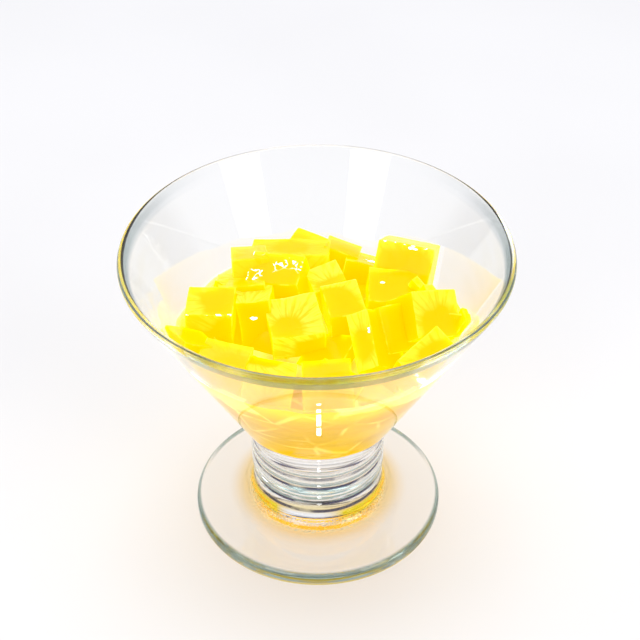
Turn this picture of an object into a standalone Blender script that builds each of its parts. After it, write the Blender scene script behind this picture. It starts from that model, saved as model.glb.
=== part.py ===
"""Diced yellow jelly heaped in a footed dessert glass.

Two pieces: a pressed-glass coupe, turned in one with its foot, and the heap of dice it holds.
Metres, +Z up. The origin is the centre of the foot's underside, and -Y is the front.
"""

import math
import random

import bmesh
import bpy
from mathutils import Euler, Matrix, Vector

MM = 0.001

# The glass, from the rim down.
HEIGHT = 99.0 * MM
RIM_RADIUS = 57.0 * MM
WALL = 2.1 * MM  # square to the cone; the lip is a half round of this width
CONE_SLOPE = 0.5623  # radius lost for each unit of height
FLOOR_HEIGHT = 39.0 * MM  # inside, at the axis
FLOOR_FILLET = 7.0 * MM
STEM_RADIUS = 20.7 * MM
SHOULDER_FILLET = 3.0 * MM
RING_EDGES = (30.6 * MM, 27.8 * MM, 24.0 * MM, 17.8 * MM)  # heights of the grooves round the stem
RING_DEPTH = 0.45 * MM
STEM_FOOT_FILLET = 6.0 * MM
FOOT_RADIUS = 38.8 * MM
FOOT_EDGE_HEIGHT = 5.4 * MM
FOOT_EDGE_ROUND = 2.6 * MM
FOOT_CROWN_HEIGHT = 8.2 * MM  # top of the foot where it meets the stem
TURNED_STEPS = 72

# The jelly.
CLEARANCE = 0.3 * MM  # between the jelly and the glass
CORE_TOP = 67.5 * MM  # of the packed jelly under the loose dice, at the wall
CORE_CROWN = 8.0 * MM  # how much higher it is in the middle
CORE_OVERLAP = 1.0 * MM  # into the glass, before it is trimmed to the clear space inside
CORE_STEPS = 48
DIE = Vector((15.0, 14.5, 15.0)) * MM
SEED = 7

# Dice on top of the heap, set one by one: centre in mm, turn in degrees, edge lengths in mm.
TOP_DICE = (
    ("back_peak", (-3, 30, 72), (-9, 17, -19), (15, 14, 15)),
    ("back_long", (-8, 26, 73), (-13, 0, -3), (24, 12, 15)),
    ("back_left", (-20, 19, 77), (-20, -2, 5), (11, 15, 13)),
    ("left_rear", (-22, 8, 74), (-20, -3, 4), (14, 15, 15)),
    ("left_tip", (-24, 6, 74), (0, 22, 46), (12, 12, 14)),
    ("wet_top", (-11, 14, 77), (20, -6, -17), (16, 11, 15)),
    ("mid_left", (-17.5, 0, 76), (-16, -7, 0), (10, 14, 14)),
    ("left", (-31, -3, 77), (1, 0, -3), (14, 13, 13)),
    ("small_pale", (4, 11, 76), (-4, -16, 17), (10, 12, 12)),
    ("centre", (-6.5, -6, 73.5), (10, -3, 10), (15.5, 15.5, 15.5)),
    ("rear_right", (27.5, 22, 77.5), (-29, 1, -17), (17, 14, 14)),
    ("rear_mid", (6, 30, 71), (-21, 16, -14), (11, 13, 14)),
    ("rear_bar", (13, 25, 69.5), (-22, 10, -10), (11, 13, 14)),
    ("deep_mid", (22, 9, 72.5), (4, 6, -2), (15, 15, 15)),
    ("mid_back", (8, 0, 75), (7, -4, 12), (11, 14, 15)),
    ("right", (31, -5, 78), (44, 15, 24), (15, 14, 15)),
    ("tall_pale", (17, -15, 77), (45, -33, -14), (7, 17, 16)),
    ("deep_front", (19.5, -8, 75.5), (-41, 17, 37), (13, 14, 14)),
    ("front_right", (30, -25, 78), (31, -16, 43), (16, 10, 14)),
    ("right_wall", (35.5, -4, 74.5), (-20, 12, 4), (12, 13, 12)),
    ("front_left", (-27, -26, 74), (-12, 6, -12), (14, 15, 15)),
    ("front_pale", (-14, -30, 72.5), (-18, 10, -5), (14, 14, 13)),
    ("front_mid", (3, -30, 71.5), (-14, -3, 2), (14, 14, 14)),
    ("left_wall", (-37, -19, 76), (-14, 27, 22), (12, 14, 12)),
)

# Dice under and between those: ring radius in mm, how many, centre height in mm.
FILL_RINGS = ((14, 5, 67), (27, 9, 65))


def clear_scene():
    for thing in list(bpy.data.objects):
        bpy.data.objects.remove(thing, do_unlink=True)


def new_collection(name):
    collection = bpy.data.collections.new(name)
    bpy.context.scene.collection.children.link(collection)
    return collection


def principled(name, colour, roughness, transmission, ior):
    material = bpy.data.materials.new(name)
    material.use_nodes = True
    shader = material.node_tree.nodes["Principled BSDF"]
    shader.inputs["Base Color"].default_value = (*colour, 1.0)
    shader.inputs["Roughness"].default_value = roughness
    shader.inputs["Metallic"].default_value = 0.0
    shader.inputs["Transmission Weight"].default_value = transmission
    shader.inputs["IOR"].default_value = ior
    return material


def arc(centre, radius, start, end, steps):
    """Points round a centre, angles in degrees from +X, both ends included."""
    points = []
    for i in range(steps + 1):
        angle = math.radians(start + (end - start) * i / steps)
        points.append(centre + radius * Vector((math.cos(angle), math.sin(angle))))
    return points


def fillet(before, corner, after, radius, steps):
    """An arc that rounds the corner of a profile between its two neighbours."""
    into = (before - corner).normalized()
    out = (after - corner).normalized()
    half = into.angle(out) / 2
    centre = corner + (into + out).normalized() * radius / math.sin(half)
    first = corner + into * radius / math.tan(half) - centre
    last = corner + out * radius / math.tan(half) - centre
    turn = first.angle_signed(last)
    points = []
    for i in range(steps + 1):
        angle = -turn * i / steps
        cosine, sine = math.cos(angle), math.sin(angle)
        spun = Vector((first.x * cosine - first.y * sine, first.x * sine + first.y * cosine))
        points.append(centre + spun)
    return points


def bulge(top, bottom, radius, rise, steps):
    """A shallow convex band on the stem, without its top point."""
    points = []
    for i in range(1, steps + 1):
        t = i / steps
        points.append(Vector((radius + rise * math.sin(math.pi * t), top + (bottom - top) * t)))
    return points


def wall_angle():
    return math.degrees(math.atan(CONE_SLOPE))


def lip_centre():
    return Vector((RIM_RADIUS - WALL / 2, HEIGHT - WALL / 2))


def cone_radius(height, inset):
    """Radius of the bowl's outer cone at a height, or of one set in from it, square to the wall."""
    angle = math.radians(wall_angle())
    touch = lip_centre() + WALL / 2 * Vector((math.cos(angle), -math.sin(angle)))
    return touch.x - CONE_SLOPE * (touch.y - height) - inset / math.cos(angle)


def bowl_floor(inset, lift):
    """Profile of the inside's bottom, from the axis to the start of the cone."""
    height = FLOOR_HEIGHT + lift
    corner = Vector((cone_radius(height, inset), height))
    above = Vector((cone_radius(HEIGHT, inset), HEIGHT))
    axis = Vector((0.0, height))
    return [axis] + fillet(axis, corner, above, FLOOR_FILLET, 5)


def glass_profile():
    """Half section of the glass: up the inside, over the lip and down the outside to the axis."""
    profile = bowl_floor(WALL, 0.0)
    profile += arc(lip_centre(), WALL / 2, 180 - wall_angle(), -wall_angle(), 8)
    ring_radius = STEM_RADIUS - RING_DEPTH
    shoulder_drop = (cone_radius(HEIGHT, 0.0) - STEM_RADIUS) / CONE_SLOPE
    shoulder = Vector((STEM_RADIUS, HEIGHT - shoulder_drop))
    below = Vector((STEM_RADIUS, RING_EDGES[0]))
    profile += fillet(profile[-1], shoulder, below, SHOULDER_FILLET, 3)
    profile.append(Vector((ring_radius, RING_EDGES[0])))
    for top, bottom in zip(RING_EDGES, RING_EDGES[1:]):
        profile += bulge(top, bottom, ring_radius, RING_DEPTH, 4)
    crown = Vector((STEM_RADIUS, FOOT_CROWN_HEIGHT))
    edge = Vector((FOOT_RADIUS, FOOT_EDGE_HEIGHT))
    profile += fillet(profile[-1], crown, edge, STEM_FOOT_FILLET, 4)
    base = Vector((FOOT_RADIUS, 0.0))
    profile += fillet(crown, edge, base, FOOT_EDGE_ROUND, 4)
    profile += fillet(edge, base, Vector((0.0, 0.0)), FOOT_EDGE_ROUND * 0.9, 3)
    profile.append(Vector((0.0, 0.0)))
    return profile


def filling_profile(top, crown, clearance):
    """Half section of a filling of the bowl up to a height, from the top down."""
    profile = bowl_floor(WALL + clearance, clearance)
    profile.append(Vector((cone_radius(top, WALL + clearance), top)))
    profile.append(Vector((0.0, top + crown)))
    return profile[::-1]


def turned(name, profile, steps, collection):
    """A solid of revolution from a half section whose ends lie on the axis."""
    mesh = bpy.data.meshes.new(name)
    edges = [(i, i + 1) for i in range(len(profile) - 1)]
    mesh.from_pydata([(point.x, 0.0, point.y) for point in profile], edges, [])
    thing = bpy.data.objects.new(name, mesh)
    collection.objects.link(thing)
    screw = thing.modifiers.new("turn", "SCREW")
    screw.axis = "Z"
    screw.steps = steps
    screw.render_steps = steps
    screw.use_merge_vertices = True
    screw.merge_threshold = 0.00001
    screw.use_smooth_shade = True
    return thing


def as_guide(thing):
    thing.hide_render = True
    thing.display_type = "WIRE"


def die(name, centre, turn, edges, collection):
    """One jelly die: a box of the given edge lengths about its centre."""
    mesh = bpy.data.meshes.new(name)
    bm = bmesh.new()
    bmesh.ops.create_cube(bm, size=1.0, matrix=Matrix.Diagonal((*edges, 1.0)))
    bm.to_mesh(mesh)
    bm.free()
    thing = bpy.data.objects.new(name, mesh)
    thing.location = centre
    thing.rotation_euler = turn
    collection.objects.link(thing)
    as_guide(thing)
    return thing


def make_dice(collection):
    for name, centre, turn, edges in TOP_DICE:
        degrees = Euler([math.radians(angle) for angle in turn])
        die(name, Vector(centre) * MM, degrees, Vector(edges) * MM, collection)
    chance = random.Random(SEED)
    for radius, count, height in FILL_RINGS:
        for i in range(count):
            angle = math.tau * (i + chance.uniform(-0.2, 0.2)) / count
            centre = Vector((radius * math.cos(angle), radius * math.sin(angle), height)) * MM
            centre.z += chance.uniform(-1.5, 1.5) * MM
            turn = Euler((chance.gauss(0, 0.35), chance.gauss(0, 0.35), chance.uniform(0, math.tau)))
            edges = Vector([side * chance.uniform(0.85, 1.1) for side in DIE])
            die(f"fill_{radius}_{i}", centre, turn, edges, collection)


def add_boolean(thing, operation, operand):
    modifier = thing.modifiers.new(operation.lower(), "BOOLEAN")
    modifier.operation = operation
    modifier.solver = "EXACT"
    if isinstance(operand, bpy.types.Collection):
        modifier.operand_type = "COLLECTION"
        modifier.collection = operand
    else:
        modifier.object = operand


def make_glass(parts):
    glass = turned("glass", glass_profile(), TURNED_STEPS, parts)
    glass.data.materials.append(principled("clear_glass", (0.93, 0.97, 0.95), 0.0, 1.0, 1.5))


def make_jelly_heap(parts, cutters):
    dice = new_collection("jelly_dice")
    make_dice(dice)
    cavity = turned("cavity", filling_profile(HEIGHT * 1.1, 0.0, CLEARANCE), CORE_STEPS, cutters)
    as_guide(cavity)
    heap = turned("jelly_heap", filling_profile(CORE_TOP, CORE_CROWN, -CORE_OVERLAP), CORE_STEPS, parts)
    add_boolean(heap, "UNION", dice)
    add_boolean(heap, "INTERSECT", cavity)
    heap.data.materials.append(principled("yellow_jelly", (1.0, 0.72, 0.0), 0.15, 0.3, 1.35))


def main():
    clear_scene()
    parts = new_collection("diced_jelly_in_glass")
    cutters = new_collection("cutters")
    make_glass(parts)
    make_jelly_heap(parts, cutters)


main()
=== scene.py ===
"""Diced yellow jelly heaped in a footed dessert glass: the finish of every surface.

Metres, +Z up, origin at the centre of the foot's underside, -Y to the front.
"""

import math
import random

import bmesh
import bpy
from mathutils import Euler, Matrix, Vector, noise


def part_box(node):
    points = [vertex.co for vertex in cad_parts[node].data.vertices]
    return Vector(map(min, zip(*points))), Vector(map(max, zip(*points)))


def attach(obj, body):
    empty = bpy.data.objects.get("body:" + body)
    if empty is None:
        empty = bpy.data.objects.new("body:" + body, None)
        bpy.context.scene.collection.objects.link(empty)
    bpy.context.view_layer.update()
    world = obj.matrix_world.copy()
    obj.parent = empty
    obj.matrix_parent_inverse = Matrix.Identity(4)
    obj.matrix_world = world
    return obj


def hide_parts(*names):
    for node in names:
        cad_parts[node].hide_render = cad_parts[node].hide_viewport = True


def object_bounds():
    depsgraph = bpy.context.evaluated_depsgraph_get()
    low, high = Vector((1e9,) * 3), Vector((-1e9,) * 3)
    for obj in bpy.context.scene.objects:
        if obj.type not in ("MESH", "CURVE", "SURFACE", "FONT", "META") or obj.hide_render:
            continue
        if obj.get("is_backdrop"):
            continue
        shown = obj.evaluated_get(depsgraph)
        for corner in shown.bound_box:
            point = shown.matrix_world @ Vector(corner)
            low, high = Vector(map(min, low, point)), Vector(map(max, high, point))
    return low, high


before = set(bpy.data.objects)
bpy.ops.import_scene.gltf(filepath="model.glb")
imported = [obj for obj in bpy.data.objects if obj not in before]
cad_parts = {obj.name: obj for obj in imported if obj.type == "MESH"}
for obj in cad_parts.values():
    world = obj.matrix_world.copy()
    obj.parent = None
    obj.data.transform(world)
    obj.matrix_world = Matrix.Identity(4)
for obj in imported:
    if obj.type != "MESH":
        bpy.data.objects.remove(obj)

bl_info = {
    "name": "Diced Jelly in a Dessert Glass",
    "version": (1, 0, 0),
    "blender": (4, 5, 0),
    "location": "View3D > Sidebar > Dessert",
    "description": "Models a footed dessert glass heaped with dice of yellow jelly",
    "category": "Add Mesh",
}

MM = 0.001
HAIR = 0.1 * MM
SAME_PLACE = 0.001 * MM
CAD_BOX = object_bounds()
GLASS_LOW, GLASS_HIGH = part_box("glass")

# Heights of the grooves round the stem, top to bottom.
RING_EDGES = (30.6 * MM, 27.8 * MM, 24.0 * MM, 17.8 * MM)
# Dark lines on the stem, where the rings turn the light away: height and strength.
DARK_LINES = (
    (30.6 * MM, 0.3), (27.8 * MM, 0.85), (24.0 * MM, 1.0), (17.8 * MM, 1.0), (14.6 * MM, 1.0))

# Steps of the rounds in the glass's half section, and of the jelly's full turn.
LIP_STEPS = 16
ROUND_STEPS = 10
FILLET_STEPS = 8
JELLY_TURN_STEPS = 128
# Points that keep long straight parts true: their distance from the ends and from each other.
SUPPORT_MARGIN = 0.15 * MM
SUPPORT_SPACING = 8 * MM
SHARP_ANGLE = math.radians(40)  # edges that turn more are not smoothed

# Marks on the glass. Each pair is a soft edge between nothing and full, in height where it isn't
# said otherwise.
FRONT_FADE = (-20 * MM, 50 * MM)  # along Y, for marks of the front only
OUTER_SKIN = (0.5 * MM, 1.0 * MM)  # into the wall, for marks of the outside only
LIP_OUTSIDE = (-5.5 * MM, -4.5 * MM)  # from the rim, on the outside
LIP_ROUND = (-3.0 * MM, -1.5 * MM)  # from the rim, right through
FOOT_EDGE = (-1.6 * MM, -0.8 * MM)  # out from the foot's radius
FOOT_TOP = (9 * MM, 12 * MM)  # end of the mark on the foot's edge
LINE_EDGE = (0.45 * MM, 0.85 * MM)  # from the middle of a dark line
STEM_EDGE = (2 * MM, 4 * MM)  # out from the stem's radius, end of the dark lines
LIT_BOTTOM = (1 * MM, 2 * MM)
LIT_STEM = (9 * MM, 11 * MM)  # from the lit foot to the lit stem
LIT_TOP = (13 * MM, 17 * MM)
LIT_LEFT = (8 * MM, 13 * MM)  # to the left, on the stem
LIT_RIGHT = (0.0, 8 * MM)  # to the right, on the stem
LIT_REACH = (22.5 * MM, 29 * MM)  # out from the axis, on the foot
UNDER_EDGE = (-1.4 * MM, -0.8 * MM)  # out from the foot's radius, for its lit lower edge
UNDER_TOP = (1.5 * MM, 2.5 * MM)
UNDER_BACK = (-35 * MM, -15 * MM)  # along Y
# Painted shade on the front of the wall beside the jelly: where it shows.
WALL_SHADE_SIDES = (14 * MM, 34 * MM)  # to either side
WALL_SHADE_BOTTOM = (60 * MM, 75 * MM)
WALL_SHADE_TOP = (93.5 * MM, 95 * MM)
# Painted reflection of fine level lines on the wall: their spacing and where they show.
HATCH_SPACING = 1.6 * MM
HATCH_SIDE = (26 * MM, 32 * MM)  # to the left
HATCH_BOTTOM = (78 * MM, 82 * MM)
HATCH_BACK = (-26 * MM, -14 * MM)  # along Y
STIPPLE_TOP = (10 * MM, 11.5 * MM)
STIPPLE_REACH = (26.5 * MM, 27.5 * MM)  # out from the axis

CLEAR_GLASS = (0.99, 0.995, 0.99, 1.0)
LAMP_THROUGH_GLASS = (0.985, 0.98, 0.97, 1.0)
HATCH_REFLECTION_GREY = (0.45, 0.44, 0.38, 1.0)

# Packed jelly: how many cells in a metre, their joints, painted pale as painted highlights, how low
# the bottom's painted glow ends, and the height, rising to the front, above which the jelly is
# painted pale as painted light and below which it keeps its clearer colour.
CELL_SCALE = 75.0
JOINT_WIDTH = (0.01, 0.06)
JOINT_HIGHLIGHT_STRENGTH = 0.45
BOTTOM_GLOW = (39.5 * MM, 43.0 * MM)
PALE_LIGHT_LEAST = 51 * MM
PALE_LIGHT_MIDDLE = 49.7 * MM
PALE_LIGHT_SLOPE = -0.64

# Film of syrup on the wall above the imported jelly: its inner edge at the bottom, the angle from the
# front by which it is down to its least share of the height, and how its top edge strays.
FILM_BASE_DEPTH = 2.5 * MM
FILM_BASE_RISE = 0.2 * MM
FILM_BACK = math.radians(115)
FILM_FADE = math.radians(45)
FILM_LEAST = 0.2
FILM_WAVE = 6 * MM
FILM_DRIFT = 1.5 * MM

# Painted glow, emitted in place of light scattered through the jelly: of the imported jelly,
# of the dice, and white for the painted syrup glints.
GLOW_DEEP = (0.78, 0.52, 0.0, 1.0)
GLOW_PACKED = (1.0, 0.74, 0.0, 1.0)
JOINT_HIGHLIGHT_GLOW = (1.0, 0.80, 0.06, 1.0)
GLOW_DICE = (1.0, 0.82, 0.0, 1.0)
GLINT_GLOW = (1.6, 1.6, 1.6, 1.0)
# Painted light on the packed jelly: its pale top and its pale joints.
PACKED_PALE = (0.88, 0.72, 0.28, 1.0)
# White of the painted syrup glints.
WHITE = (1.0, 1.0, 1.0, 1.0)

# Dice on top of the heap: centre in mm, turn in degrees, edge lengths in mm, then the looks of
# its cut faces. A look is how pale the face is painted, as painted light where it catches the
# light, where its streaks start (across and up, 0 to 1) and how far from there it stays clear
# (1 is a whole edge).
TOP_DICE = (
    ("back_peak", (-3, 35, 68.5), (-9, 17, -19), (15, 14, 15), {"top": (0.15, 0.1, 0.1, 0.5)}),
    ("back_long", (-8, 26, 73), (-13, 0, -3), (24, 12, 15),
     {"front": (0.55, 0.45, 0.0, 0.75), "top": (0.4, 0.5, 0.5, 0.3)}),
    ("back_left", (-20, 19, 77), (-20, -2, 5), (11, 15, 13),
     {"front": (0.3, 1.1, 0.3, 0.5), "top": (0.35, 0.8, 0.0, 0.5)}),
    ("left_rear", (-22, 8, 74), (-20, -3, 4), (14, 15, 15), {"top": (0.6, 1.0, 0.2, 0.55)}),
    ("left_tip", (-24, 6, 74), (0, 22, 46), (12, 12, 14), {"top": (0.6, 0.8, 0.2, 0.3)}),
    ("wet_top", (-11, 14, 77), (20, -6, -17), (16, 11, 15), {"top": (0.5, 0.75, 0.1, 0.72)}),
    ("mid_left", (-17.5, 0, 76), (-16, -7, 0), (10, 14, 14), {"top": (1.0, 0.3, -0.3, 0.2)}),
    ("left", (-31, -3, 77), (1, 0, -3), (14, 13, 13),
     {"top": (0.8, 1.1, 0.45, 0.68), "front": (0.5, 1.1, 0.2, 0.6)}),
    ("small_pale", (4, 11, 76), (-4, -16, 17), (10, 12, 12), {"top": (1.0, 0.6, -0.1, 0.32)}),
    ("centre", (-6.5, -6, 73.5), (10, -3, 10), (15.5, 15.5, 15.5),
     {"top": (1.0, 0.32, 0.22, 0.26), "front": (0.9, 1.0, 0.2, 0.68)}),
    ("rear_right", (27.5, 22, 77.5), (-29, 1, -17), (17, 14, 14),
     {"front": (0.45, 0.6, 0.1, 0.72), "top": (0.5, 0.5, 0.0, 0.4),
      "right": (0.3, 0.5, 0.5, 0.3)}),
    ("rear_mid", (6, 30, 71), (-21, 16, -14), (11, 13, 14), {"top": (0.2, 0.5, 0.0, 0.6)}),
    ("rear_bar", (13, 25, 69.5), (-22, 10, -10), (11, 13, 14), {"top": (0.2, 0.3, 0.0, 0.6)}),
    ("deep_mid", (22, 9, 72.5), (4, 6, -2), (15, 15, 15), {"top": (0.35, 0.5, 0.1, 0.8)}),
    ("mid_back", (8, 0, 75), (7, -4, 12), (11, 14, 15), {"top": (0.8, 0.0, 0.2, 0.62)}),
    ("right", (31, -5, 78), (44, 15, 24), (15, 14, 15), {"top": (0.75, 0.55, 0.2, 0.42)}),
    ("tall_pale", (17, -15, 77), (45, -33, -14), (7, 17, 16), {"top": (0.9, 0.6, 0.45, 0.28)}),
    ("deep_front", (19.5, -8, 75.5), (-41, 17, 37), (13, 14, 14), {}),
    ("front_right", (30, -25, 78), (31, -16, 43), (16, 10, 14),
     {"top": (0.6, 0.6, -0.1, 0.5), "front": (0.4, 0.5, 0.0, 0.4)}),
    ("right_wall", (35.5, -4, 74.5), (-20, 12, 4), (12, 13, 12), {}),
    ("front_left", (-27, -26, 74), (-12, 6, -12), (14, 15, 15), {"top": (0.25, 0.8, 0.0, 0.5)}),
    ("front_pale", (-14, -30, 72.5), (-18, 10, -5), (14, 14, 13),
     {"top": (0.9, 0.1, 1.2, 0.6), "front": (0.6, 0.5, 0.5, 0.1)}),
    ("front_mid", (3, -30, 71.5), (-14, -3, 2), (14, 14, 14), {"front": (0.3, 0.5, 0.5, 0.2)}),
    ("left_wall", (-37, -19, 76), (-14, 27, 22), (12, 14, 12), {}),
    ("crumb_wall", (41.3, -8, 78), (0, 30, 10), (2, 6, 8), {}),
    ("crumb_wall_high", (42.5, -9, 79.5), (5, 32, 5), (1.5, 4, 5), {}),
    ("crumb_pale", (33, 6, 79.5), (10, 20, 30), (4, 3, 3), {"top": (1.0, 0.5, 0.5, 0.0)}),
    ("crumb_low", (36.3, 5, 78.5), (0, 25, 70), (3.5, 3, 3), {"top": (0.8, 0.5, 0.5, 0.0)}),
    ("crumb_back", (29.5, 8, 80.5), (30, 0, 50), (3, 3.5, 3), {"top": (1.0, 0.5, 0.5, 0.0)}),
)

# Painted glints on beads of syrup: die, face, place across and up it, and their two radii, 1 being an
# edge.
GLINT_BEADS = (
    ("back_long", "front", 0.24, 0.72, 0.03, 0.05),
    ("mid_left", "front", 0.45, 0.62, 0.12, 0.04),
    ("deep_front", "top", 0.5, 0.4, 0.05, 0.05),
    ("tall_pale", "top", 0.9, 0.62, 0.09, 0.05),
    ("rear_bar", "top", 0.80, 0.40, 0.30, 0.09),
    ("front_right", "top", 0.08, 0.3, 0.06, 0.2),
    ("rear_right", "front", 0.62, 0.93, 0.12, 0.03),
    ("deep_mid", "top", 0.3, 0.55, 0.05, 0.03),
)

# Faces with painted glints in curls of syrup, and wet edges with painted glint dots: die, and
# the two faces that meet there.
WET_GLINT_FACES = (("wet_top", "top"),)
WET_GLINT_EDGES = (("left", "top", "front"), ("rear_right", "top", "front"), ("wet_top", "top", "left"))

PLAIN_LOOK = (0.0, 0.0, 0.0, 1.0)  # of any other cut face

# Dice under and between the top ones: ring radius in mm, how many, centre height in mm.
FILL_RINGS = ((14, 5, 67), (27, 9, 65))
# How far they stray: round the ring (in shares of their spacing), in height, in turn and in size.
FILL_SPREAD = 0.2
FILL_STRAY = 1.5 * MM
FILL_TUMBLE = 0.35
FILL_SIDES = (0.85, 1.1)

# Axis and direction of each face of a die, and what every face notes for its material.
FACE_AXES = {
    "top": (2, 1), "bottom": (2, -1),
    "right": (0, 1), "left": (0, -1),
    "back": (1, 1), "front": (1, -1),
}
FACE_LAYERS = ("tone", "pale", "clear", "wet", "rim", "shine")
FAR_AWAY = 9.0  # where the painted glint bead's map is put on a face that has none
DIE_CUTS = 4  # cuts across each edge of a die
DRIFT_WAVE = 9 * MM  # over which its cut faces stray from flat
DRIFT_APART = Vector((90.0, 50.0, 0.0))  # so that no two dice stray alike
EDGE_LEAN = 0.3  # least share of a face's direction in the normal of a rounded edge beside it

# Lamps: name, place, what they point at, width and height, power in watts.
LAMPS = (
    ("overhead", (0.0, 0.15, 0.9), (0.0, 0.0, 0.07), (0.6, 0.4), 1.8),
    ("left_window", (-0.545, -0.839, 0.5), (0.0, 0.0, 0.06), (0.42, 0.6), 2.1),
    ("right_window", (0.731, -0.682, 0.5), (0.0, 0.0, 0.06), (0.42, 0.6), 2.1),
)

# Strips of light low in front of the stem: near and far end in mm along Y.
GLINTS = ((-36.8, -36.2), (-34.6, -33.5), (-32.8, -29.5), (-28.9, -26.3))
GLINT_WIDTH = 2.3 * MM
GLINT_X = 0.6 * MM
GLINT_HEIGHT = 12 * MM
GLINT_POWER = 32.0  # for each square metre

# Backdrop all round, by how far up a ray points: a dark band at the horizon, then nearly white.
BACKDROP = (
    (0.0, (0.1, 0.1, 0.13, 1.0)),
    (0.12, (0.1, 0.1, 0.13, 1.0)),
    (0.2, (0.90, 0.90, 0.93, 1.0)),
    (1.0, (0.93, 0.93, 0.95, 1.0)),
)
FLOOR_GAP = 0.3 * MM  # between the floor and the foot


class GlassSettings(bpy.types.PropertyGroup):
    """Sizes and colours of the glass"""

    wall: bpy.props.FloatProperty(
        name="Wall", description="Thickness of the bowl, square to the cone",
        default=2.1 * MM, unit="LENGTH")
    cone_slope: bpy.props.FloatProperty(
        name="Cone slope", description="Radius lost for each unit of height", default=0.5623)
    floor_height: bpy.props.FloatProperty(
        name="Floor height", description="Height of the bowl's inside floor",
        default=39.0 * MM, unit="LENGTH")
    floor_fillet: bpy.props.FloatProperty(
        name="Floor fillet", description="Round between the floor and the cone",
        default=7.0 * MM, unit="LENGTH")
    stem_radius: bpy.props.FloatProperty(
        name="Stem radius", description="Radius of the stem over its rings",
        default=20.7 * MM, unit="LENGTH")
    shoulder_fillet: bpy.props.FloatProperty(
        name="Shoulder fillet", description="Round between the bowl and the stem",
        default=3.0 * MM, unit="LENGTH")
    ring_depth: bpy.props.FloatProperty(
        name="Ring depth", description="Depth of the grooves round the stem",
        default=0.45 * MM, unit="LENGTH")
    foot_radius: bpy.props.FloatProperty(
        name="Foot radius", description="Radius of the foot", default=38.8 * MM, unit="LENGTH")
    foot_edge_height: bpy.props.FloatProperty(
        name="Foot edge height", description="Height of the foot at its edge",
        default=5.4 * MM, unit="LENGTH")
    foot_edge_round: bpy.props.FloatProperty(
        name="Foot edge round", description="Round of the foot's edge",
        default=2.6 * MM, unit="LENGTH")
    foot_base_round: bpy.props.FloatProperty(
        name="Foot base round", description="Round between the foot's edge and its underside",
        default=2.6 * MM * 0.9, unit="LENGTH")
    foot_crown_height: bpy.props.FloatProperty(
        name="Foot crown height", description="Height of the foot where it meets the stem",
        default=8.2 * MM, unit="LENGTH")
    stem_foot_fillet: bpy.props.FloatProperty(
        name="Stem foot fillet", description="Round between the stem and the foot",
        default=6.0 * MM, unit="LENGTH")
    turned_steps: bpy.props.IntProperty(
        name="Turned steps", description="Steps in the full turn", default=192)
    # Painted shade: the lip's dark tint, on the front of the rim.
    lip: bpy.props.FloatVectorProperty(
        name="Lip", description="Colour light picks up where it runs down from the lip inside the wall",
        subtype="COLOR", size=4, default=(0.13, 0.23, 0.21, 1.0))
    groove: bpy.props.FloatVectorProperty(
        name="Groove", description="Colour of the stem where its rings turn the light away",
        subtype="COLOR", size=4, default=(0.01, 0.01, 0.04, 1.0))
    # Painted shade: a darker beige tint on the front of the wall beside the jelly.
    painted_wall_shade: bpy.props.FloatVectorProperty(
        name="Smear", description="Colour of the wall beside the jelly, where syrup has run on it",
        subtype="COLOR", size=4, default=(0.90, 0.83, 0.62, 1.0))
    lit_base: bpy.props.FloatVectorProperty(
        name="Lit base", description="Colour of the foot next to the stem, lit through the jelly",
        subtype="COLOR", size=4, default=(0.90, 0.56, 0.0, 1.0))
    tint: bpy.props.FloatVectorProperty(
        name="Tint", description="Colour that thick glass takes", subtype="COLOR",
        size=4, default=(0.8, 0.82, 0.86, 1.0))
    tint_density: bpy.props.FloatProperty(
        name="Tint density", description="Strength of the tint for each metre of glass", default=2.5)


class JellySettings(bpy.types.PropertyGroup):
    """Sizes and colours of the jelly"""

    into_wall: bpy.props.FloatProperty(
        name="Into the wall", description="How far the jelly reaches into the glass",
        default=0.15 * MM, unit="LENGTH")
    core_top: bpy.props.FloatProperty(
        name="Core top", description="Height of the packed jelly at the wall",
        default=69.5 * MM, unit="LENGTH")
    core_crown: bpy.props.FloatProperty(
        name="Core crown", description="How much higher the packed jelly is in the middle",
        default=2.0 * MM, unit="LENGTH")
    film_top: bpy.props.FloatProperty(
        name="Film top", description="How high the syrup between the dice and the wall reaches",
        default=77.5 * MM, unit="LENGTH")
    film_depth: bpy.props.FloatProperty(
        name="Film depth", description="Thickness of that syrup at its top",
        default=1.2 * MM, unit="LENGTH")
    die: bpy.props.FloatVectorProperty(
        name="Die", description="Usual edge lengths of a die", size=3,
        default=(15.0 * MM, 14.5 * MM, 15.0 * MM), unit="LENGTH")
    edge_round: bpy.props.FloatProperty(
        name="Edge round", description="Round of a die's edges", default=0.35 * MM, unit="LENGTH")
    uneven: bpy.props.FloatProperty(
        name="Uneven", description="How far the cut faces stray from flat", default=0.4 * MM,
        unit="LENGTH")
    seed: bpy.props.IntProperty(
        name="Seed", description="Seed of the tumbled dice", default=7)
    scatter: bpy.props.FloatProperty(
        name="Scatter", description="How far light spreads inside the jelly",
        default=25.0 * MM, unit="LENGTH")
    # Painted glow: strength of the light the jelly emits all round, in place of light it scatters.
    glow: bpy.props.FloatProperty(
        name="Glow", description="Strength of the light that comes out of the jelly all round",
        default=0.67)
    body: bpy.props.FloatVectorProperty(
        name="Body", description="Colour of the jelly", subtype="COLOR", size=4,
        default=(0.42, 0.19, 0.0, 1.0))
    deep: bpy.props.FloatVectorProperty(
        name="Deep", description="Colour where the jelly is thickest", subtype="COLOR", size=4,
        default=(0.42, 0.175, 0.0, 1.0))
    # Painted glow at the jelly's bottom, standing in for light that has come down through it.
    under_glow: bpy.props.FloatVectorProperty(
        name="Under glow", description="Light that has come down through the jelly, at its bottom",
        subtype="COLOR", size=4, default=(1.5, 0.85, 0.0, 1.0), soft_max=10.0)
    pale: bpy.props.FloatVectorProperty(
        name="Pale", description="Colour of a cut face that catches the light", subtype="COLOR",
        size=4, default=(0.60, 0.40, 0.06, 1.0))


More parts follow.
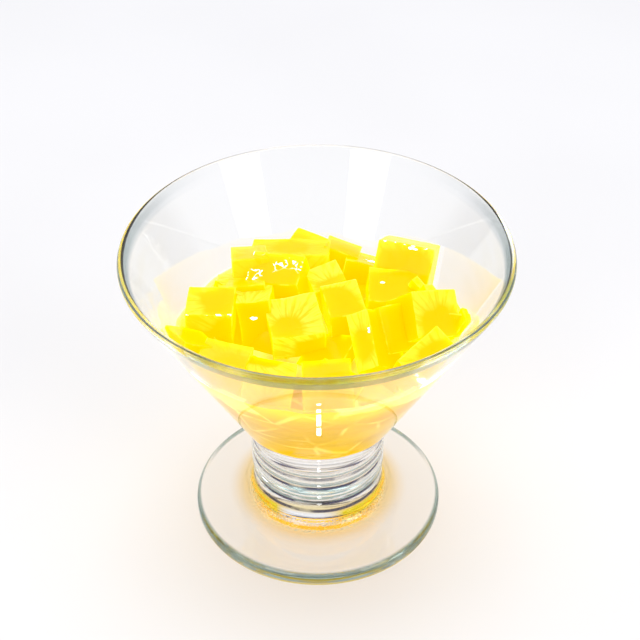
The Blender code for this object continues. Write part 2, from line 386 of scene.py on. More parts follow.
class StageSettings(bpy.types.PropertyGroup):
    """The floor's colour and the camera's place"""

    floor_colour: bpy.props.FloatVectorProperty(
        name="Floor", description="Colour of the floor", subtype="COLOR", size=4,
        default=(0.83, 0.83, 0.84, 1.0))
    camera_distance: bpy.props.FloatProperty(
        name="Camera distance", description="From the axis, level with the floor",
        default=0.3746, unit="LENGTH")
    camera_height: bpy.props.FloatProperty(
        name="Camera height", description="Above the floor", default=0.3728, unit="LENGTH")
    camera_pitch: bpy.props.FloatProperty(
        name="Camera pitch", description="How far the camera looks down",
        default=math.radians(38.61), unit="ROTATION")
    camera_yaw: bpy.props.FloatProperty(
        name="Camera yaw", description="Turn of the camera to its left",
        default=math.radians(-0.128), unit="ROTATION")
    camera_roll: bpy.props.FloatProperty(
        name="Camera roll", description="Roll of the camera", default=math.radians(-0.217),
        unit="ROTATION")
    camera_lens: bpy.props.FloatProperty(
        name="Camera lens", description="Focal length in millimetres", default=91.34)


# ---- shader helpers


class Value:
    """A shader socket that takes part in Python arithmetic."""

    def __init__(self, tree, socket):
        self.tree = tree
        self.socket = socket

    def math(self, operation, *others):
        """One Math node, with this value first."""
        operands = (self, *others)
        node = self.tree.add("Math", {"operation": operation}, dict(enumerate(operands)))
        return Value(self.tree, node.outputs[0])

    def __add__(self, other):
        return self.math("ADD", other)

    __radd__ = __add__

    def __mul__(self, other):
        return self.math("MULTIPLY", other)

    __rmul__ = __mul__

    def __sub__(self, other):
        return self.math("SUBTRACT", other)

    def __rsub__(self, other):
        return (self * -1.0) + other

    def clamp(self):
        return self.math("MAXIMUM", 0.0).math("MINIMUM", 1.0)

    def step(self, low, high):
        """0 below low, 1 above high and smooth between."""
        settings = {"interpolation_type": "SMOOTHSTEP"}
        sockets = {"Value": self, "From Min": low, "From Max": high}
        return Value(self.tree, self.tree.add("MapRange", settings, sockets).outputs["Result"])


def length(x, y):
    """Length of a flat vector, from its two parts."""
    return (x * x + y * y).math("SQRT")


class Tree:
    """The node tree of a material or of the world."""

    def __init__(self, owner):
        owner.use_nodes = True
        self.nodes = owner.node_tree.nodes
        self.links = owner.node_tree.links
        self.nodes.clear()

    def add(self, kind, settings=None, sockets=None):
        """A node with its settings made first, then the values or links of its sockets."""
        node = self.nodes.new("ShaderNode" + kind)
        for name, value in (settings or {}).items():
            if name == "stops":
                self.set_stops(node.color_ramp, value)
            else:
                setattr(node, name, value)
        for key, value in (sockets or {}).items():
            if isinstance(value, Value):
                self.links.new(value.socket, node.inputs[key])
            else:
                node.inputs[key].default_value = value
        return node

    def out(self, kind, output, settings=None, sockets=None):
        """One output of a new node, ready for arithmetic."""
        return Value(self, self.add(kind, settings, sockets).outputs[output])

    def set_stops(self, ramp, stops):
        """Sets a colour ramp to pairs of a position and a colour."""
        while len(ramp.elements) < len(stops):
            ramp.elements.new(0.5)
        for element, (position, colour) in zip(ramp.elements, stops):
            element.position = position
            element.color = colour

    def mix(self, factor, first, second):
        """A colour between two colours."""
        sockets = {"Factor": factor, 6: first, 7: second}
        node = self.add("Mix", {"data_type": "RGBA"}, sockets)
        return Value(self, node.outputs[2])

    def noise(self, vector, scale, detail, rough=0.5):
        """Noise from 0 to 1: how many lumps in a metre, and how many finer layers of them."""
        sockets = {"Vector": vector, "Scale": scale, "Detail": detail, "Roughness": rough}
        return self.out("TexNoise", "Fac", None, sockets)

    def vector(self, x, y, z):
        return self.out("CombineXYZ", "Vector", None, {0: x, 1: y, 2: z})

    def split(self, vector):
        """The three parts of a vector."""
        parts = self.add("SeparateXYZ", None, {0: vector})
        return [Value(self, output) for output in parts.outputs]

    def attribute(self, name):
        return self.out("Attribute", "Fac", {"attribute_name": name})

    def map_parts(self, name):
        """Across and up on one of the mesh's maps."""
        return self.split(self.out("UVMap", "UV", {"uv_map": name}))[:2]

    def finish(self, surface, volume=None):
        sockets = {"Surface": surface}
        if volume:
            sockets["Volume"] = volume
        self.add("OutputMaterial", None, sockets)


class GlassMarks:
    """Where each mark on the glass shows, from 0 to 1, by the place on it."""

    def __init__(self, tree, settings):
        self.tree = tree
        self.settings = settings
        self.place = tree.out("TexCoord", "Object")
        self.x, self.y, self.up = tree.split(self.place)
        self.left = self.x * -1.0
        self.reach = length(self.x, self.y)
        self.waves = tree.noise(self.place, 26.0, 2.0)
        self.front = 1.0 - self.y.step(*FRONT_FADE)
        depth = self.up * settings.cone_slope + cone_radius(settings, 0.0, 0.0) - self.reach
        self.outside = 1.0 - depth.step(*OUTER_SKIN)
        self.low = self.up.step(*LIT_BOTTOM) * (1.0 - self.up.step(*LIT_TOP))

    def lip(self):
        """Painted shade on the lip, which runs down the outside in front."""
        from_rim = self.up - GLASS_HIGH.z
        shown = (from_rim.step(*LIP_OUTSIDE) * self.outside).math("MAXIMUM", from_rim.step(*LIP_ROUND))
        return shown * self.front * (0.4 + self.tree.noise(self.place, 45.0, 2.0)).clamp()

    def foot_edge(self):
        """Painted shade on the foot's edge, in the lip's colour."""
        from_edge = self.reach - self.settings.foot_radius
        return from_edge.step(*FOOT_EDGE) * (1.0 - self.up.step(*FOOT_TOP))

    def stem_lines(self):
        """Broken dark lines that waver round the stem."""
        lines = 0.0
        wavering = self.up + (self.waves - 0.5) * MM
        for height, strength in DARK_LINES:
            line = 1.0 - (wavering - height).math("ABSOLUTE").step(*LINE_EDGE)
            lines = (line * strength).math("MAXIMUM", lines)
        breaks = self.tree.noise(self.place, 120.0, 2.0).step(0.35, 0.5)
        stem = 1.0 - (self.reach - self.settings.stem_radius).step(*STEM_EDGE)
        return lines * (breaks * 0.5 + 0.5) * stem

    def lit_base(self):
        """Painted yellow light on the foot round the stem, and on the sides of the stem's own foot."""
        sides = self.left.step(*LIT_LEFT).math("MAXIMUM", self.x.step(*LIT_RIGHT))
        on_stem = self.up.step(*LIT_STEM)
        on_foot = (1.0 - on_stem) * (1.0 - self.reach.step(*LIT_REACH)) * 0.8
        return self.low * (on_stem * sides + on_foot)

    def lit_edge(self):
        """Painted yellow light on the lower edge of the foot, in front."""
        from_edge = self.reach - self.settings.foot_radius
        low = 1.0 - self.up.step(*UNDER_TOP)
        return from_edge.step(*UNDER_EDGE) * low * (1.0 - self.y.step(*UNDER_BACK))

    def painted_wall_shade(self):
        """Painted shade on the front of the wall, beside the jelly and above it."""
        beside = self.x.math("ABSOLUTE").step(*WALL_SHADE_SIDES) * self.front * self.outside
        return beside * self.up.step(*WALL_SHADE_BOTTOM) * (1.0 - self.up.step(*WALL_SHADE_TOP))

    def wall_shade_streaks(self):
        """Level streaks in the painted wall shade."""
        along = self.tree.vector(self.x, self.y, self.up * 4.0)
        return 0.6 + self.tree.noise(along, 80.0, 2.0).step(0.3, 0.7) * 0.4

    def hatch_reflection(self):
        """Painted reflection: fine level grey lines in the painted wall shade, high on the left."""
        turns = self.up * (math.tau / HATCH_SPACING) + self.waves * 4.0
        hatch_reflection = turns.math("SINE").step(0.3, 0.9) * (1.0 - self.y.step(*HATCH_BACK))
        return hatch_reflection * self.left.step(*HATCH_SIDE) * self.up.step(*HATCH_BOTTOM)

    def stipple(self):
        """Fine roughness on the ring round the stem's foot, as a height."""
        grain = self.tree.noise(self.place, 1100.0, 1.0) * self.low
        return grain * (1.0 - self.up.step(*STIPPLE_TOP)) * (1.0 - self.reach.step(*STIPPLE_REACH))


def clear_glass_material(settings):
    """Clear glass with its marks as tints, which are painted shade, light and reflection; it lets the
    light of lamps through.
    """
    material = bpy.data.materials.new("clear_glass")
    tree = Tree(material)
    marks = GlassMarks(tree, settings)
    lip, painted_wall_shade = marks.lip(), marks.painted_wall_shade()
    colour = tree.mix(lip.math("MAXIMUM", marks.foot_edge()), CLEAR_GLASS, tuple(settings.lip))
    colour = tree.mix(marks.lit_base(), colour, tuple(settings.lit_base))
    colour = tree.mix(marks.stem_lines(), colour, tuple(settings.groove))
    colour = tree.mix(painted_wall_shade * marks.wall_shade_streaks(), colour, tuple(settings.painted_wall_shade))
    colour = tree.mix(marks.hatch_reflection() * painted_wall_shade * 0.6, colour, HATCH_REFLECTION_GREY)
    colour = tree.mix(marks.lit_edge(), colour, tuple(settings.lit_base))
    smudge = tree.noise(marks.place, 90.0, 4.0).step(0.55, 0.8)
    bump = tree.out("Bump", "Normal", None, {
        "Height": marks.waves + marks.stipple() * 2.0, "Strength": 0.12, "Distance": 0.6 * MM})
    clear = tree.out("BsdfPrincipled", "BSDF", None, {
        "Base Color": colour,
        "Roughness": smudge * 0.02 + lip * 0.18,
        "Transmission Weight": 1.0,
        "IOR": 1.5,
        "Normal": bump,
    })
    through = tree.out("BsdfTransparent", "BSDF", None, {"Color": LAMP_THROUGH_GLASS})
    path = tree.add("LightPath")
    shadow = Value(tree, path.outputs["Is Shadow Ray"])
    soft = shadow.math("MAXIMUM", Value(tree, path.outputs["Is Diffuse Ray"]))
    surface = tree.out("MixShader", "Shader", None, {0: soft, 1: clear, 2: through})
    absorb = tree.out("VolumeAbsorption", "Volume", None, {
        "Color": tuple(settings.tint), "Density": settings.tint_density})
    tree.finish(surface, absorb)
    return material


def jelly_shader(tree, settings, colour, height, glow):
    """The jelly's body: light that enters it spreads and comes out again all round, and a painted glow
    is emitted on top.
    """
    bump = tree.out("Bump", "Normal", None, {
        "Height": height, "Strength": 0.3, "Distance": 0.3 * MM})
    return tree.out("BsdfPrincipled", "BSDF", None, {
        "Base Color": colour,
        "Roughness": 0.2,
        "Subsurface Weight": 1.0,
        "Subsurface Radius": (1.0, 0.8, 0.1),
        "Subsurface Scale": settings.scatter,
        "Specular IOR Level": 0.12,
        "IOR": 1.35,
        "Normal": bump,
        "Emission Color": glow,
        "Emission Strength": settings.glow,
    })


def packed_jelly_material(settings):
    """Dice pressed together at the bottom of the glass."""
    material = bpy.data.materials.new("packed_jelly")
    tree = Tree(material)
    place = tree.out("TexCoord", "Object")
    cells = {"Vector": place, "Scale": CELL_SCALE}
    cell = tree.split(tree.out("TexVoronoi", "Color", None, cells))[0]
    gaps = tree.out("TexVoronoi", "Distance", {"feature": "DISTANCE_TO_EDGE"}, cells)
    swirl = tree.noise(place, 90.0, 2.0)
    x, y, height = tree.split(place)
    strokes = tree.noise(tree.vector(x + swirl * 12 * MM, y, height * 3.5), 60.0, 3.0, 0.6)
    shade = (cell * 0.5 + strokes.step(0.35, 0.6) * 0.5).clamp()
    # Painted highlights: the joints between pressed dice are painted pale and glow where light catches
    # them.
    joint_highlights = (1.0 - gaps.step(*JOINT_WIDTH)) * swirl.step(0.4, 0.6) * JOINT_HIGHLIGHT_STRENGTH
    # Painted light: above this height, which rises to the front, the jelly is painted pale.
    pale_light_from = (y * PALE_LIGHT_SLOPE + PALE_LIGHT_MIDDLE).math("MAXIMUM", PALE_LIGHT_LEAST)
    pale_light_from = pale_light_from + (0.5 - swirl) * 6 * MM + (0.5 - cell) * 9 * MM
    above = (height - pale_light_from).step(-1.0 * MM, 1.0 * MM) * (0.55 + shade * 0.45)
    colour = tree.mix(shade, tuple(settings.deep), tuple(settings.body))
    colour = tree.mix(above.math("MAXIMUM", joint_highlights), colour, PACKED_PALE)
    # Painted glow of the packed jelly, deeper and brighter at random.
    glow = tree.mix(shade, GLOW_DEEP, GLOW_PACKED)
    glow = tree.mix(joint_highlights, glow, JOINT_HIGHLIGHT_GLOW)
    # Painted glow at the bottom of the packed jelly.
    glow = tree.mix(1.0 - height.step(*BOTTOM_GLOW), glow, tuple(settings.under_glow))
    tree.finish(jelly_shader(tree, settings, colour, swirl, glow))
    return material


def painted_syrup_glints(tree, place, reach):
    """Painted highlights: glints in curls of syrup on the wet faces, dots on the wet edges, and beads.
    """
    curls = tree.noise(place, 330.0, 2.0)
    strokes = 1.0 - (curls - 0.5).math("ABSOLUTE").step(0.012, 0.03)
    patch = tree.noise(place, 240.0, 1.0).step(0.5, 0.58)
    ring = reach.step(0.3, 0.42) * (1.0 - reach.step(0.75, 0.9))
    syrup = tree.attribute("wet") * strokes * patch * ring
    dots = tree.attribute("shine") * tree.noise(place, 620.0, 1.0).step(0.55, 0.6)
    crumble = tree.noise(place, 900.0, 2.0)
    bead = 1.0 - (length(*tree.map_parts("bead")) + (crumble - 0.5) * 3.0).step(0.75, 0.9)
    return (syrup + dots + bead).clamp()


def cut_jelly_material(settings):
    """Loose dice: clear cut faces, some painted pale with streaks as painted light, a few with painted
    syrup glints.
    """
    material = bpy.data.materials.new("cut_jelly")
    tree = Tree(material)
    place = tree.out("TexCoord", "Object")
    tone, pale, clear = (tree.attribute(name) for name in ("tone", "pale", "clear"))
    across, up = tree.map_parts("streaks")
    cloud = tree.noise(place, 110.0, 3.0)
    colour = tree.mix(cloud.step(0.35, 0.65), tuple(settings.deep), tuple(settings.body))
    reach = length(across, up)
    fan = tree.vector(up.math("ARCTAN2", across) * 4.0, reach * 0.7, tone * 9.0)
    streaks = tree.noise(fan, 2.2, 3.0, 0.6)
    blotch = tree.noise(tree.vector(across, up, tone * 5.0), 3.0, 2.0)
    away = reach + (blotch - 0.5) * 0.35
    open_face = ((away - clear) * 7.0).clamp()
    # Painted light: cut faces painted pale with streaks where they catch the light.
    mask = pale * open_face * (streaks.step(0.38, 0.56) * 0.75 + 0.25)
    colour = tree.mix(mask.clamp(), colour, tuple(settings.pale))
    # Painted highlight along the rounded edges of the dice.
    rim = tree.attribute("rim") * tree.noise(place, 300.0, 2.0).step(0.45, 0.6)
    colour = tree.mix(rim * 0.5, colour, tuple(settings.pale))
    # Painted highlights: syrup glints painted white, with a white painted glow.
    shine = painted_syrup_glints(tree, place, reach)
    colour = tree.mix(shine, colour, WHITE)
    height = tree.noise(place, 700.0, 3.0) * 0.3 + tree.noise(place, 220.0, 2.0)
    height = height + streaks * pale + shine
    # Painted glow of the dice, and a white painted glow where syrup glints are painted.
    glow = tree.mix(shine, GLOW_DICE, GLINT_GLOW)
    tree.finish(jelly_shader(tree, settings, colour, height, glow))
    return material


def floor_material(settings):
    """A plain pale floor, very slightly uneven in tone."""
    material = bpy.data.materials.new("pale_floor")
    tree = Tree(material)
    place = tree.out("TexCoord", "Object")
    grain = tree.noise(place, 6.0, 2.0)
    darker = tuple(channel * 0.97 for channel in settings.floor_colour[:3]) + (1.0,)
    colour = tree.mix(grain.step(0.3, 0.7), tuple(settings.floor_colour), darker)
    tree.finish(tree.out("BsdfPrincipled", "BSDF", None, {
        "Base Color": colour, "Roughness": grain * 0.1 + 0.6, "Specular IOR Level": 0.1}))
    return material


# ---- shape helpers


def arc(centre, radius, start, end, steps):
    """Points round a centre, angles in degrees from +X, both ends included."""
    points = []
    for i in range(steps + 1):
        angle = math.radians(start + (end - start) * i / steps)
        points.append(centre + radius * Vector((math.cos(angle), math.sin(angle))))
    return points


def fillet(before, corner, after, radius, steps):
    """An arc that rounds the corner of a profile between its two neighbours."""
    into = (before - corner).normalized()
    out = (after - corner).normalized()
    half = into.angle(out) / 2
    centre = corner + (into + out).normalized() * radius / math.sin(half)
    first = corner + into * radius / math.tan(half) - centre
    last = corner + out * radius / math.tan(half) - centre
    turn = first.angle_signed(last)
    points = []
    for i in range(steps + 1):
        angle = -turn * i / steps
        cosine, sine = math.cos(angle), math.sin(angle)
        spun = Vector((first.x * cosine - first.y * sine, first.x * sine + first.y * cosine))
        points.append(centre + spun)
    return points


def bulge(top, bottom, radius, rise):
    """A shallow convex band on the stem, without its top point."""
    points = []
    for i in range(1, ROUND_STEPS + 1):
        t = i / ROUND_STEPS
        points.append(Vector((radius + rise * math.sin(math.pi * t), top + (bottom - top) * t)))
    return points


def wall_angle(settings):
    """How far the wall leans from upright, in radians."""
    return math.atan(settings.cone_slope)


def lip_centre(settings):
    """Centre of the lip's round in the half section."""
    return Vector((GLASS_HIGH.x - settings.wall / 2, GLASS_HIGH.z - settings.wall / 2))


def cone_radius(settings, height, inset):
    """Radius of the bowl's outer cone at a height, or of one set in from it, square to the wall."""
    angle = wall_angle(settings)
    centre = lip_centre(settings)
    touch = centre + settings.wall / 2 * Vector((math.cos(angle), -math.sin(angle)))
    return touch.x - settings.cone_slope * (touch.y - height) - inset / math.cos(angle)


def bowl_floor(settings, inset, lift):
    """Profile of the inside's bottom, from the axis to the start of the cone."""
    height = settings.floor_height + lift
    corner = Vector((cone_radius(settings, height, inset), height))
    above = Vector((cone_radius(settings, GLASS_HIGH.z, inset), GLASS_HIGH.z))
    axis = Vector((0.0, height))
    return [axis] + fillet(axis, corner, above, settings.floor_fillet, ROUND_STEPS)


def glass_profile(settings):
    """Half section of the glass: up the inside, over the lip and down the outside to the axis."""
    profile = bowl_floor(settings, settings.wall, 0.0)
    lean = math.degrees(wall_angle(settings))
    profile += arc(lip_centre(settings), settings.wall / 2, 180 - lean, -lean, LIP_STEPS)
    ring_radius = settings.stem_radius - settings.ring_depth
    drop = (cone_radius(settings, GLASS_HIGH.z, 0.0) - settings.stem_radius) / settings.cone_slope
    shoulder = Vector((settings.stem_radius, GLASS_HIGH.z - drop))
    below = Vector((settings.stem_radius, RING_EDGES[0]))
    profile += fillet(profile[-1], shoulder, below, settings.shoulder_fillet, FILLET_STEPS)
    profile.append(Vector((ring_radius, RING_EDGES[0])))
    for top, bottom in zip(RING_EDGES, RING_EDGES[1:]):
        profile += bulge(top, bottom, ring_radius, settings.ring_depth)
    crown = Vector((settings.stem_radius, settings.foot_crown_height))
    edge = Vector((settings.foot_radius, settings.foot_edge_height))
    profile += fillet(profile[-1], crown, edge, settings.stem_foot_fillet, FILLET_STEPS)
    base = Vector((settings.foot_radius, 0.0))
    middle = Vector((0.0, 0.0))
    profile += fillet(crown, edge, base, settings.foot_edge_round, ROUND_STEPS)
    profile += fillet(edge, base, middle, settings.foot_base_round, FILLET_STEPS)
    profile.append(middle)
    return profile


def with_support(profile):
    """The same profile with points added, so that long straight parts keep true normals."""
    margin = SUPPORT_MARGIN
    points = [profile[0]]
    for before, after in zip(profile, profile[1:]):
        span = (after - before).length
        if span > 4 * margin:
            along = (after - before) / span
            count = max(1, math.ceil((span - 2 * margin) / SUPPORT_SPACING))
            for i in range(count + 1):
                points.append(before + along * (margin + (span - 2 * margin) * i / count))
        points.append(after)
    return points


def spin_profile(bm, profile, steps):
    """Turns a half section that starts and ends on the axis into a closed solid."""
    verts = [bm.verts.new((point.x, 0.0, point.y)) for point in profile]
    edges = [bm.edges.new(pair) for pair in zip(verts, verts[1:])]
    bmesh.ops.spin(bm, geom=verts + edges, cent=(0, 0, 0), axis=(0, 0, 1), angle=math.tau,
                   steps=steps, use_merge=True)
    bmesh.ops.remove_doubles(bm, verts=bm.verts, dist=SAME_PLACE)
    bmesh.ops.recalc_face_normals(bm, faces=bm.faces)


def new_object(name, bm, material=None):
    """An object at the origin from a bmesh, which is used up."""
    mesh = bpy.data.meshes.new(name)
    bm.to_mesh(mesh)
    bm.free()
    if material:
        mesh.materials.append(material)
    made = bpy.data.objects.new(name, mesh)
    bpy.context.scene.collection.objects.link(made)
    return made


def shade_smooth(piece):
    """Smooth shading, apart from sharp edges."""
    piece.data.shade_smooth()
    piece.data.set_sharp_from_angle(angle=SHARP_ANGLE)


# ---- pieces


class DESSERT_OT_glass(bpy.types.Operator):
    """Turns the footed glass, from its rim to its foot"""

    bl_idname = "dessert.glass"
    bl_label = "Glass"

    def execute(self, context):
        settings = context.scene.dessert_glass
        bm = bmesh.new()
        spin_profile(bm, with_support(glass_profile(settings)), settings.turned_steps)
        piece = new_object("footed_glass", bm, clear_glass_material(settings))
        shade_smooth(piece)
        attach(piece, "root")
        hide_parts("glass")
        return {"FINISHED"}


def filling_profile(glass, top, crown, inset):
    """Half section of a filling of the bowl up to a height, a little higher in the middle."""
    profile = bowl_floor(glass, inset, glass.wall - inset)
    profile[0].y = profile[1].y
    profile.append(Vector((cone_radius(glass, top, inset), top)))
    profile.append(Vector((0.0, top + crown)))
    return profile


class DESSERT_OT_jelly_core(bpy.types.Operator):
    """Fills the bottom of the bowl with packed jelly that touches the glass all round"""

    bl_idname = "dessert.jelly_core"
    bl_label = "Packed jelly"

    def execute(self, context):
        glass = context.scene.dessert_glass
        jelly = context.scene.dessert_jelly
        bm = bmesh.new()
        inset = glass.wall - jelly.into_wall
        profile = filling_profile(glass, jelly.core_top, jelly.core_crown, inset)
        film = [Vector((cone_radius(glass, jelly.film_top, inset + depth), jelly.film_top))
                for depth in (0.0, jelly.film_depth)]
        within = cone_radius(glass, jelly.core_top, inset + FILM_BASE_DEPTH)
        film.append(Vector((within, jelly.core_top + FILM_BASE_RISE)))
        spin_profile(bm, profile[:-1] + film + [profile[-1]], JELLY_TURN_STEPS)
        self.lower_film(bm, glass, jelly, inset)
        piece = new_object("jelly_core", bm, packed_jelly_material(jelly))
        shade_smooth(piece)
        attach(piece, "root")
        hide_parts("jelly_heap")
        return {"FINISHED"}

    def lower_film(self, bm, glass, jelly, inset):
        """Brings the film of syrup between dice and wall down at the back, along an uneven edge."""
        for vert in bm.verts:
            if vert.co.z < jelly.film_top - HAIR:
                continue
            radius = math.hypot(vert.co.x, vert.co.y)
            depth = cone_radius(glass, vert.co.z, inset) - radius
            angle = abs(math.atan2(vert.co.x, -vert.co.y))
            front = min(1.0, max(FILM_LEAST, (FILM_BACK - angle) / FILM_FADE))
            drift = noise.noise(vert.co / FILM_WAVE) * FILM_DRIFT
            height = jelly.core_top + (jelly.film_top - jelly.core_top + drift) * front
            scale = (cone_radius(glass, height, inset) - depth) / radius
            vert.co = Vector((vert.co.x * scale, vert.co.y * scale, height))


def all_dice(jelly):
    """Every die: name, centre, turn, edge lengths and the looks of its faces."""
    for name, centre, turn, edges, looks in TOP_DICE:
        turn = Euler([math.radians(angle) for angle in turn])
        yield name, Vector(centre) * MM, turn, Vector(edges) * MM, looks
    chance = random.Random(jelly.seed)
    for radius, count, height in FILL_RINGS:
        for i in range(count):
            angle = math.tau * (i + chance.uniform(-FILL_SPREAD, FILL_SPREAD)) / count
            centre = Vector((radius * math.cos(angle), radius * math.sin(angle), height)) * MM
            centre.z += chance.uniform(-FILL_STRAY, FILL_STRAY)
            tumble = [chance.gauss(0, FILL_TUMBLE) for _ in range(2)]
            turn = Euler((*tumble, chance.uniform(0, math.tau)))
            edges = Vector([side * chance.uniform(*FILL_SIDES) for side in jelly.die])
            yield f"fill_{radius}_{i}", centre, turn, edges, {}


def face_name(normal):
    """The name of the face of a die that a normal belongs to."""
    axis = max(range(3), key=lambda k: abs(normal[k]))
    side = 1 if normal[axis] > 0 else -1
    return next(name for name, place in FACE_AXES.items() if place == (axis, side))


def map_face(face, edges, side, look, bead, layers, unit):
    """Maps a cut face for its streaks and its painted glint bead, and notes its look."""
    pale, across, up, clear = look
    flat = [k for k in range(3) if k != FACE_AXES[side][0]]
    for loop in face.loops:
        place = [loop.vert.co[k] / edges[k] + 0.5 for k in flat]
        size = [edges[k] / unit for k in flat]
        loop[layers["streaks"]].uv = [(place[k] - (across, up)[k]) * size[k] for k in range(2)]
        if bead:
            loop[layers["bead"]].uv = [(place[k] - bead[k]) / bead[k + 2] for k in range(2)]
        else:
            loop[layers["bead"]].uv = (FAR_AWAY, FAR_AWAY)
    face[layers["pale"]] = pale
    face[layers["clear"]] = clear


def is_corner(edge):
    """Whether an edge lies between two different faces of its die."""
    first, second = edge.link_faces
    return face_name(first.normal) != face_name(second.normal)


def note_edge(face, layers, tone, shiny):
    """Notes the look of a rounded edge's face, with its painted highlight, and whether it has painted
    syrup glints.
    """
    face.normal_update()
    face[layers["tone"]] = tone
    face[layers["rim"]] = 1.0
    sides = {side for side, (axis, way) in FACE_AXES.items() if face.normal[axis] * way > EDGE_LEAN}
    face[layers["shine"]] = 1.0 if sides in shiny else 0.0
    for loop in face.loops:
        loop[layers["bead"]].uv = (FAR_AWAY, FAR_AWAY)


def add_die(bm, layers, die, tone, jelly):
    """One die in its place, a little uneven, with its cut faces mapped and its edges rounded."""
    name, centre, turn, edges, looks = die
    made = bmesh.ops.create_cube(bm, size=1.0, matrix=Matrix.Diagonal((*edges, 1.0)))
    faces = {face for vert in made["verts"] for face in vert.link_faces}
    lines = list({edge for face in faces for edge in face.edges})
    made = bmesh.ops.subdivide_edges(bm, edges=lines, cuts=DIE_CUTS, use_grid_fill=True)
    faces |= {item for item in made["geom"] if isinstance(item, bmesh.types.BMFace)}
    glint_beads = {bead[1]: bead[2:] for bead in GLINT_BEADS if bead[0] == name}
    for face in faces:
        side = face_name(face.normal)
        look = looks.get(side, PLAIN_LOOK)
        map_face(face, edges, side, look, glint_beads.get(side), layers, jelly.die[0])
        face[layers["tone"]] = tone
        face[layers["wet"]] = float((name, side) in WET_GLINT_FACES)
    sharp = [edge for edge in {edge for face in faces for edge in face.edges} if is_corner(edge)]
    verts = {vert for face in faces for vert in face.verts}
    for vert in verts:
        drift = noise.noise_vector(vert.co / DRIFT_WAVE + DRIFT_APART * tone)
        vert.co += drift * jelly.uneven
    made = bmesh.ops.bevel(bm, geom=sharp, offset=jelly.edge_round, affect="EDGES", segments=2,
                           profile=0.5, material=-1)
    shiny = [set(pair[1:]) for pair in WET_GLINT_EDGES if pair[0] == name]
    for face in made["faces"]:
        note_edge(face, layers, tone, shiny)
    verts = {vert for vert in verts if vert.is_valid} | set(made["verts"])
    matrix = Matrix.Translation(centre) @ turn.to_matrix().to_4x4()
    bmesh.ops.transform(bm, matrix=matrix, verts=list(verts))


class DESSERT_OT_jelly_dice(bpy.types.Operator):
    """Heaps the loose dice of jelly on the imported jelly"""

    bl_idname = "dessert.jelly_dice"
    bl_label = "Jelly dice"

    def execute(self, context):
        glass = context.scene.dessert_glass
        jelly = context.scene.dessert_jelly
        chance = random.Random(jelly.seed + 1)
        bm = bmesh.new()
        layers = {name: bm.loops.layers.uv.new(name) for name in ("streaks", "bead")}
        layers |= {name: bm.faces.layers.float.new(name) for name in FACE_LAYERS}
        for die in all_dice(jelly):
            add_die(bm, layers, die, chance.random(), jelly)
        piece = new_object("jelly_dice", bm, cut_jelly_material(jelly))
        self.trim_to_bowl(piece, glass, jelly)
        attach(piece, "root")
        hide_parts("jelly_heap")
        return {"FINISHED"}

    def trim_to_bowl(self, piece, glass, jelly):
        """Cuts the dice off where they would run through the wall."""
        bm = bmesh.new()
        profile = filling_profile(glass, GLASS_HIGH.z, 0.0, glass.wall - jelly.into_wall)
        spin_profile(bm, profile, JELLY_TURN_STEPS)
        room = new_object("bowl_room", bm)
        trim = piece.modifiers.new("trim", "BOOLEAN")
        trim.operation = "INTERSECT"
        trim.solver = "EXACT"
        trim.use_self = True
        trim.object = room
        graph = bpy.context.evaluated_depsgraph_get()
        trimmed = bpy.data.meshes.new_from_object(piece.evaluated_get(graph))
        piece.modifiers.clear()
        piece.data = trimmed
        bpy.data.objects.remove(room)


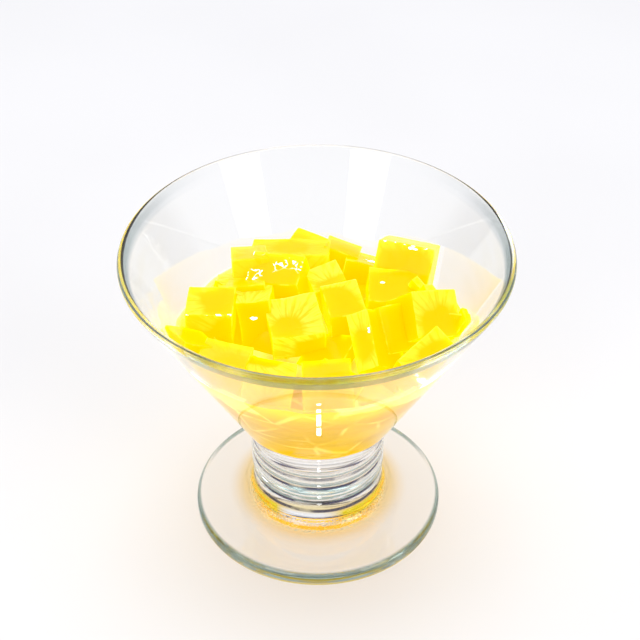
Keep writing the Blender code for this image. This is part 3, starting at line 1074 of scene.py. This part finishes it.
class DESSERT_OT_stage(bpy.types.Operator):
    """Sets the floor, the lights and the camera"""

    bl_idname = "dessert.stage"
    bl_label = "Stage"

    def execute(self, context):
        settings = context.scene.dessert_stage
        self.add_floor(settings)
        self.add_world(context.scene)
        for name, place, target, size, power in LAMPS:
            facing = (Vector(target) - Vector(place)).to_track_quat("-Z", "Y").to_euler()
            self.add_lamp(name, place, facing, size, power)
        for near, far in GLINTS:
            self.add_glint(near * MM, far * MM)
        self.add_camera(context.scene, settings)
        context.scene.view_settings.view_transform = "Standard"
        self.set_light_paths(context.scene.cycles)
        return {"FINISHED"}

    def set_light_paths(self, cycles):
        """Paths long enough for many passes through the glass."""
        cycles.caustics_refractive = False
        cycles.caustics_reflective = False
        cycles.max_bounces = 64
        cycles.glossy_bounces = 12
        cycles.transmission_bounces = 64
        cycles.transparent_max_bounces = 16

    def add_floor(self, settings):
        """A plain floor just below the foot."""
        bm = bmesh.new()
        bmesh.ops.create_grid(bm, x_segments=1, y_segments=1, size=3.0,
                              matrix=Matrix.Translation((0, 0, GLASS_LOW.z - FLOOR_GAP)))
        floor = new_object("floor", bm, floor_material(settings))
        floor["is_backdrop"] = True

    def add_world(self, scene):
        """Soft light from all round, with a darker horizon for the glass to pick up."""
        scene.world = bpy.data.worlds.new("studio")
        tree = Tree(scene.world)
        up = tree.split(tree.out("TexCoord", "Generated"))[2]
        colour = tree.out("ValToRGB", "Color", {"stops": BACKDROP}, {0: up})
        sky = tree.out("Background", "Background", None, {"Color": colour, "Strength": 1.0})
        tree.add("OutputWorld", None, {"Surface": sky})

    def add_lamp(self, name, place, facing, size, power):
        light = bpy.data.lights.new(name, "AREA")
        light.shape = "RECTANGLE"
        light.size, light.size_y = size
        light.energy = power
        lamp = bpy.data.objects.new(name, light)
        lamp.location = place
        lamp.rotation_euler = facing
        bpy.context.scene.collection.objects.link(lamp)
        return lamp

    def add_glint(self, near, far):
        """A strip of light that faces up, seen only as a glint on the wall above it."""
        place = (GLINT_X, (near + far) / 2, GLINT_HEIGHT)
        size = (GLINT_WIDTH, far - near)
        power = GLINT_POWER * size[0] * size[1]
        lamp = self.add_lamp("glint", place, (math.pi, 0, 0), size, power)
        lamp.visible_camera = False
        lamp.visible_transmission = False

    def add_camera(self, scene, settings):
        """The camera, in front and above."""
        data = bpy.data.cameras.new("camera")
        data.lens = settings.camera_lens
        data.clip_start = 0.01
        camera = bpy.data.objects.new("camera", data)
        place = Vector((0.0, -settings.camera_distance, settings.camera_height))
        turn = (Matrix.Rotation(settings.camera_yaw, 4, "Z")
                @ Matrix.Rotation(math.radians(90) - settings.camera_pitch, 4, "X")
                @ Matrix.Rotation(settings.camera_roll, 4, "Z"))
        camera.matrix_world = Matrix.Translation(place) @ turn
        scene.collection.objects.link(camera)
        scene.camera = camera


class DESSERT_PT_panel(bpy.types.Panel):
    """Lists the pieces of the dessert"""

    bl_label = "Dessert"
    bl_idname = "DESSERT_PT_panel"
    bl_space_type = "VIEW_3D"
    bl_region_type = "UI"
    bl_category = "Dessert"

    def draw(self, context):
        for operator in OPERATORS:
            self.layout.operator(operator.bl_idname)


OPERATORS = (DESSERT_OT_stage, DESSERT_OT_glass, DESSERT_OT_jelly_core, DESSERT_OT_jelly_dice)
SETTINGS = {
    "dessert_glass": GlassSettings,
    "dessert_jelly": JellySettings,
    "dessert_stage": StageSettings,
}


def register():
    for kind in (*SETTINGS.values(), *OPERATORS, DESSERT_PT_panel):
        bpy.utils.register_class(kind)
    for name, kind in SETTINGS.items():
        setattr(bpy.types.Scene, name, bpy.props.PointerProperty(type=kind))


def unregister():
    for name in SETTINGS:
        delattr(bpy.types.Scene, name)
    for kind in reversed((*SETTINGS.values(), *OPERATORS, DESSERT_PT_panel)):
        bpy.utils.unregister_class(kind)


def main():
    """Makes every piece and the stage, then gathers the corners of the imported model's box and of the
    scene's box.
    """
    register()
    bpy.ops.dessert.stage()
    bpy.ops.dessert.glass()
    bpy.ops.dessert.jelly_core()
    bpy.ops.dessert.jelly_dice()
    boxes = [[list(map(float, corner)) for corner in box] for box in (CAD_BOX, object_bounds())]


if __name__ == "__main__":
    main()
